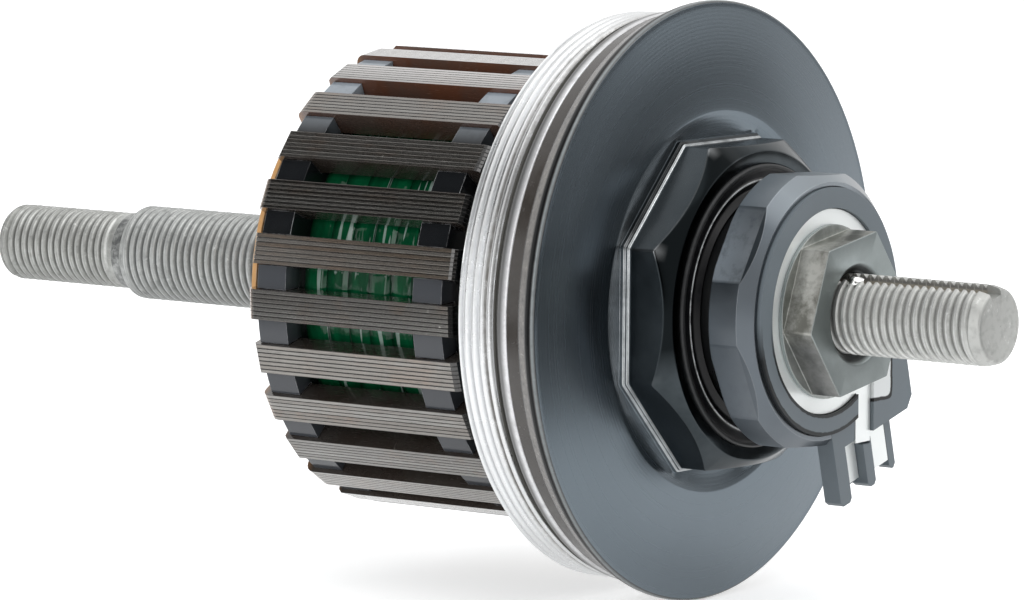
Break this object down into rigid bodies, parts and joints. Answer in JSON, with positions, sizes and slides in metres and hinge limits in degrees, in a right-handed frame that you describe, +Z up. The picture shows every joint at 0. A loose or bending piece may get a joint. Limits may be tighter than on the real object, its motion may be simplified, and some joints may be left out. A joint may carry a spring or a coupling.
{
  "type": "hub dynamo inner unit",
  "caption": "Inner unit of a front hub dynamo: threaded axle, claw-pole stator on a taped coil, threaded hub cap on its bearing, end nut and two-blade connector.",
  "frame": {"origin": "the middle of the axle, on its centre line", "axes": "+Y runs along the axle away from the connector, -Y towards the connector end; +Z is up, with the connector's terminal block hanging down; +X completes the right-handed frame"},
  "size_m": [0.0654, 0.135, 0.0654],
  "materials": {
    "axle_steel": "bright rolled thread, satin",
    "sleeve_aluminium": "turned",
    "bobbin_plastic": "black moulded, slightly glossy",
    "copper": "enamelled copper wire, wound solid",
    "coil_tape": "dark green polyester tape, glossy",
    "laminated_steel": "dark varnished electrical steel plates, bonded",
    "plated_steel": "zinc plated, satin",
    "fibre_guard": "amber fibre sheet",
    "lead_insulation": "smooth insulation",
    "bearing_steel": "ground and hardened",
    "end_nut_steel": "dark satin coating, worn at the edges",
    "connector_plastic": "dark grey moulded, satin",
    "contact_tin": "bright tin plate",
    "nut_steel": "satin stainless steel",
    "black_anodised": "black anodised, satin, fine turning lines",
    "machined_aluminium": "bare machined, bright",
    "seal_rubber": "black rubber, slightly glossy",
    "retainer_plastic": "moulded nylon",
    "ball_steel": "polished"
  },
  "bodies": {
    "axle_unit": {"axle": "axle_steel", "core_sleeve": "sleeve_aluminium", "bobbin": "bobbin_plastic", "coil_winding": "copper", "coil_tape": "coil_tape", "pole_left_01": "laminated_steel", "pole_left_02": "laminated_steel", "pole_left_03": "laminated_steel", "pole_left_04": "laminated_steel", "pole_left_05": "laminated_steel", "pole_left_06": "laminated_steel", "pole_left_07": "laminated_steel", "pole_left_08": "laminated_steel", "pole_left_09": "laminated_steel", "pole_left_10": "laminated_steel", "pole_left_11": "laminated_steel", "pole_left_12": "laminated_steel", "pole_left_13": "laminated_steel", "pole_right_01": "laminated_steel", "pole_right_02": "laminated_steel", "pole_right_03": "laminated_steel", "pole_right_04": "laminated_steel", "pole_right_05": "laminated_steel", "pole_right_06": "laminated_steel", "pole_right_07": "laminated_steel", "pole_right_08": "laminated_steel", "pole_right_09": "laminated_steel", "pole_right_10": "laminated_steel", "pole_right_11": "laminated_steel", "pole_right_12": "laminated_steel", "pole_right_13": "laminated_steel", "clamp_plate_left": "plated_steel", "clamp_plate_right": "plated_steel", "stator_washer": "plated_steel", "stator_nut": "plated_steel", "lead_guard": "fibre_guard", "ground_lead": "lead_insulation", "live_lead": "lead_insulation", "spacer_sleeve": "sleeve_aluminium", "bearing_cone": "bearing_steel", "end_nut": "end_nut_steel", "connector_body": "connector_plastic", "ground_plate": "contact_tin", "live_contact": "contact_tin", "axle_nut": "nut_steel"},
    "cap_unit": {"hub_cap": "black_anodised", "threaded_ring": "machined_aluminium", "o_ring": "seal_rubber", "bearing_cup": "bearing_steel", "dust_seal": "seal_rubber"},
    "ball_cage": {"ball_retainer": "retainer_plastic", "bearing_balls": "ball_steel"}
  },
  "joints": [
    {"name": "cap_spin", "type": "hinge", "parent": "axle_unit", "child": "cap_unit", "pos_m": [0, -0.0318, 0], "axis": [0, 1, 0], "continuous": true},
    {"name": "cage_spin", "type": "hinge", "parent": "axle_unit", "child": "ball_cage", "pos_m": [0, -0.0318, 0], "axis": [0, 1, 0], "continuous": true}
  ],
  "couplings": [
    {"joint": "cage_spin", "follows": "cap_spin", "ratio": 0.579}
  ]
}
